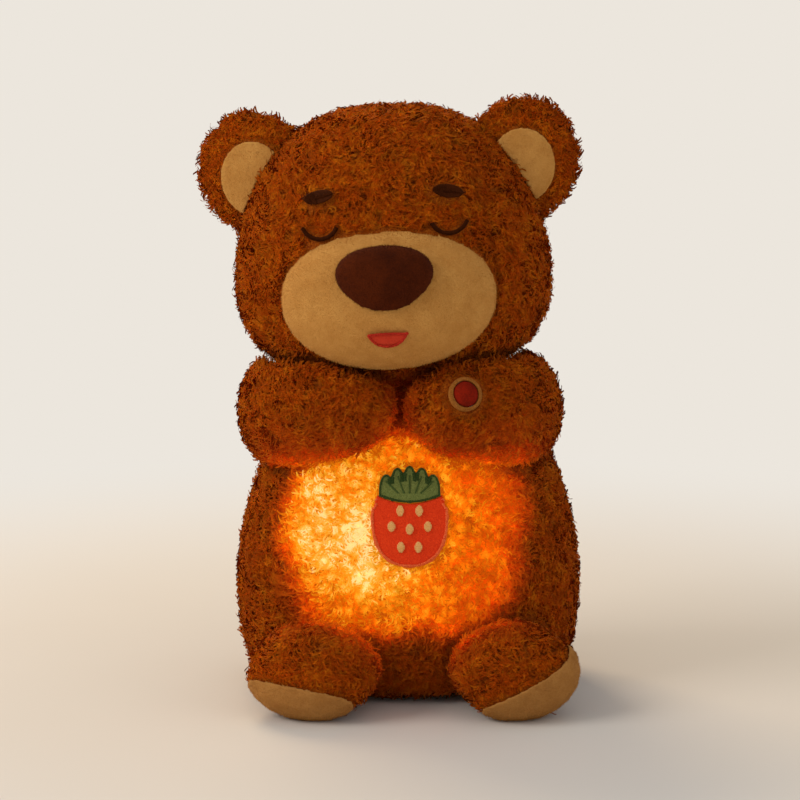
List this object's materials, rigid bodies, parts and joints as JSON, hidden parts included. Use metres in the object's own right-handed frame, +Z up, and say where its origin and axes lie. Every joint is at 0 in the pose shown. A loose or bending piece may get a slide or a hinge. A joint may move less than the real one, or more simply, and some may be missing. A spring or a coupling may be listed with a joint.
{
  "type": "plush night light",
  "caption": "Sitting plush bear with hugging arms, a paw push button and a light engine behind its tummy, reached through a back flap.",
  "frame": {"origin": "middle of the seat, on the surface that the toy sits on", "axes": "+Z up, the face and feet towards -Y, +X to the side of the paw with the button"},
  "size_m": [0.1862, 0.1577, 0.2862],
  "materials": {
    "brown_plush": "curly short pile",
    "glow_plush": "curly short pile, lit from behind over the tummy",
    "cream_velour": "short velour",
    "nose_velour": "short velour",
    "red_velour": "short velour with a stitched edge",
    "brown_thread": "embroidery thread",
    "tan_thread": "embroidery thread",
    "berry_felt": "felt with a stitched edge",
    "leaf_felt": "felt with a stitched edge",
    "seed_thread": "embroidery thread",
    "grip_tape": "hook-and-loop tape",
    "white_abs": "fine moulded texture",
    "milky_dome": "milky diffuser",
    "circuit_board": "solder mask",
    "led_resin": "clear resin, lit",
    "cell_sleeve": "plain printed sleeve",
    "nickel": "nickel plate",
    "steel": "zinc plate",
    "wire_jacket": "satin",
    "rubber": "matte"
  },
  "bodies": {
    "bear": {"torso": "glow_plush", "loop_strip": "grip_tape", "head": "brown_plush", "muzzle": "cream_velour", "nose": "nose_velour", "mouth_patch": "red_velour", "eye_right": "brown_thread", "eye_left": "brown_thread", "brow_right": "brown_thread", "brow_left": "brown_thread", "ear_right": "brown_plush", "ear_left": "brown_plush", "ear_lining_right": "cream_velour", "ear_lining_left": "cream_velour", "fruit_patch": "berry_felt", "fruit_leaves": "leaf_felt", "wire_in_body": "wire_jacket", "engine_case": "white_abs", "battery_door": "white_abs", "dome_bezel": "white_abs", "reflector_tray": "white_abs", "light_dome": "milky_dome", "led_board": "circuit_board", "controller_board": "circuit_board", "led_1": "led_resin", "led_2": "led_resin", "led_3": "led_resin", "led_4": "led_resin", "led_5": "led_resin", "led_6": "led_resin", "case_screw_1": "steel", "case_screw_2": "steel", "case_screw_3": "steel", "case_screw_4": "steel", "door_screw": "steel", "cell_1": "cell_sleeve", "cell_2": "cell_sleeve", "cell_3": "cell_sleeve", "contact_left": "nickel", "contact_right": "nickel", "wire_grommet": "rubber"},
    "flap": {"back_flap": "brown_plush", "hook_strip": "grip_tape"},
    "arm_left": {"arm_left": "brown_plush"},
    "arm_right": {"arm_right": "brown_plush", "switch_housing": "white_abs", "switch_ring": "tan_thread", "wire_in_arm": "wire_jacket"},
    "button": {"switch_plunger": "white_abs", "switch_patch": "red_velour"},
    "leg_left": {"leg_left": "brown_plush", "sole_left": "cream_velour"},
    "leg_right": {"leg_right": "brown_plush", "sole_right": "cream_velour"}
  },
  "joints": [
    {"name": "back_flap_hinge", "type": "hinge", "parent": "bear", "child": "flap", "pos_m": [0, 0.048, 0.119], "axis": [1, 0, 0], "range_deg": [0, 100]},
    {"name": "arm_left_seam", "type": "hinge", "parent": "bear", "child": "arm_left", "pos_m": [-0.062, 0.011, 0.133], "axis": [0, 0, -1], "range_deg": [0, 40], "stiffness_Nm_per_rad": 0.1},
    {"name": "arm_right_seam", "type": "hinge", "parent": "bear", "child": "arm_right", "pos_m": [0.062, 0.011, 0.133], "axis": [0, 0, 1], "range_deg": [0, 40], "stiffness_Nm_per_rad": 0.1},
    {"name": "paw_button", "type": "slide", "parent": "arm_right", "child": "button", "axis": [-0.3503, 0.8763, -0.3308], "range_m": [0, 0.0015], "stiffness_N_per_m": 400},
    {"name": "leg_left_seam", "type": "hinge", "parent": "bear", "child": "leg_left", "pos_m": [-0.066, -0.044, 0.021], "axis": [0, 0, -1], "range_deg": [0, 20], "stiffness_Nm_per_rad": 0.15},
    {"name": "leg_right_seam", "type": "hinge", "parent": "bear", "child": "leg_right", "pos_m": [0.077, -0.035, 0.021], "axis": [0, 0, 1], "range_deg": [0, 20], "stiffness_Nm_per_rad": 0.15}
  ]
}
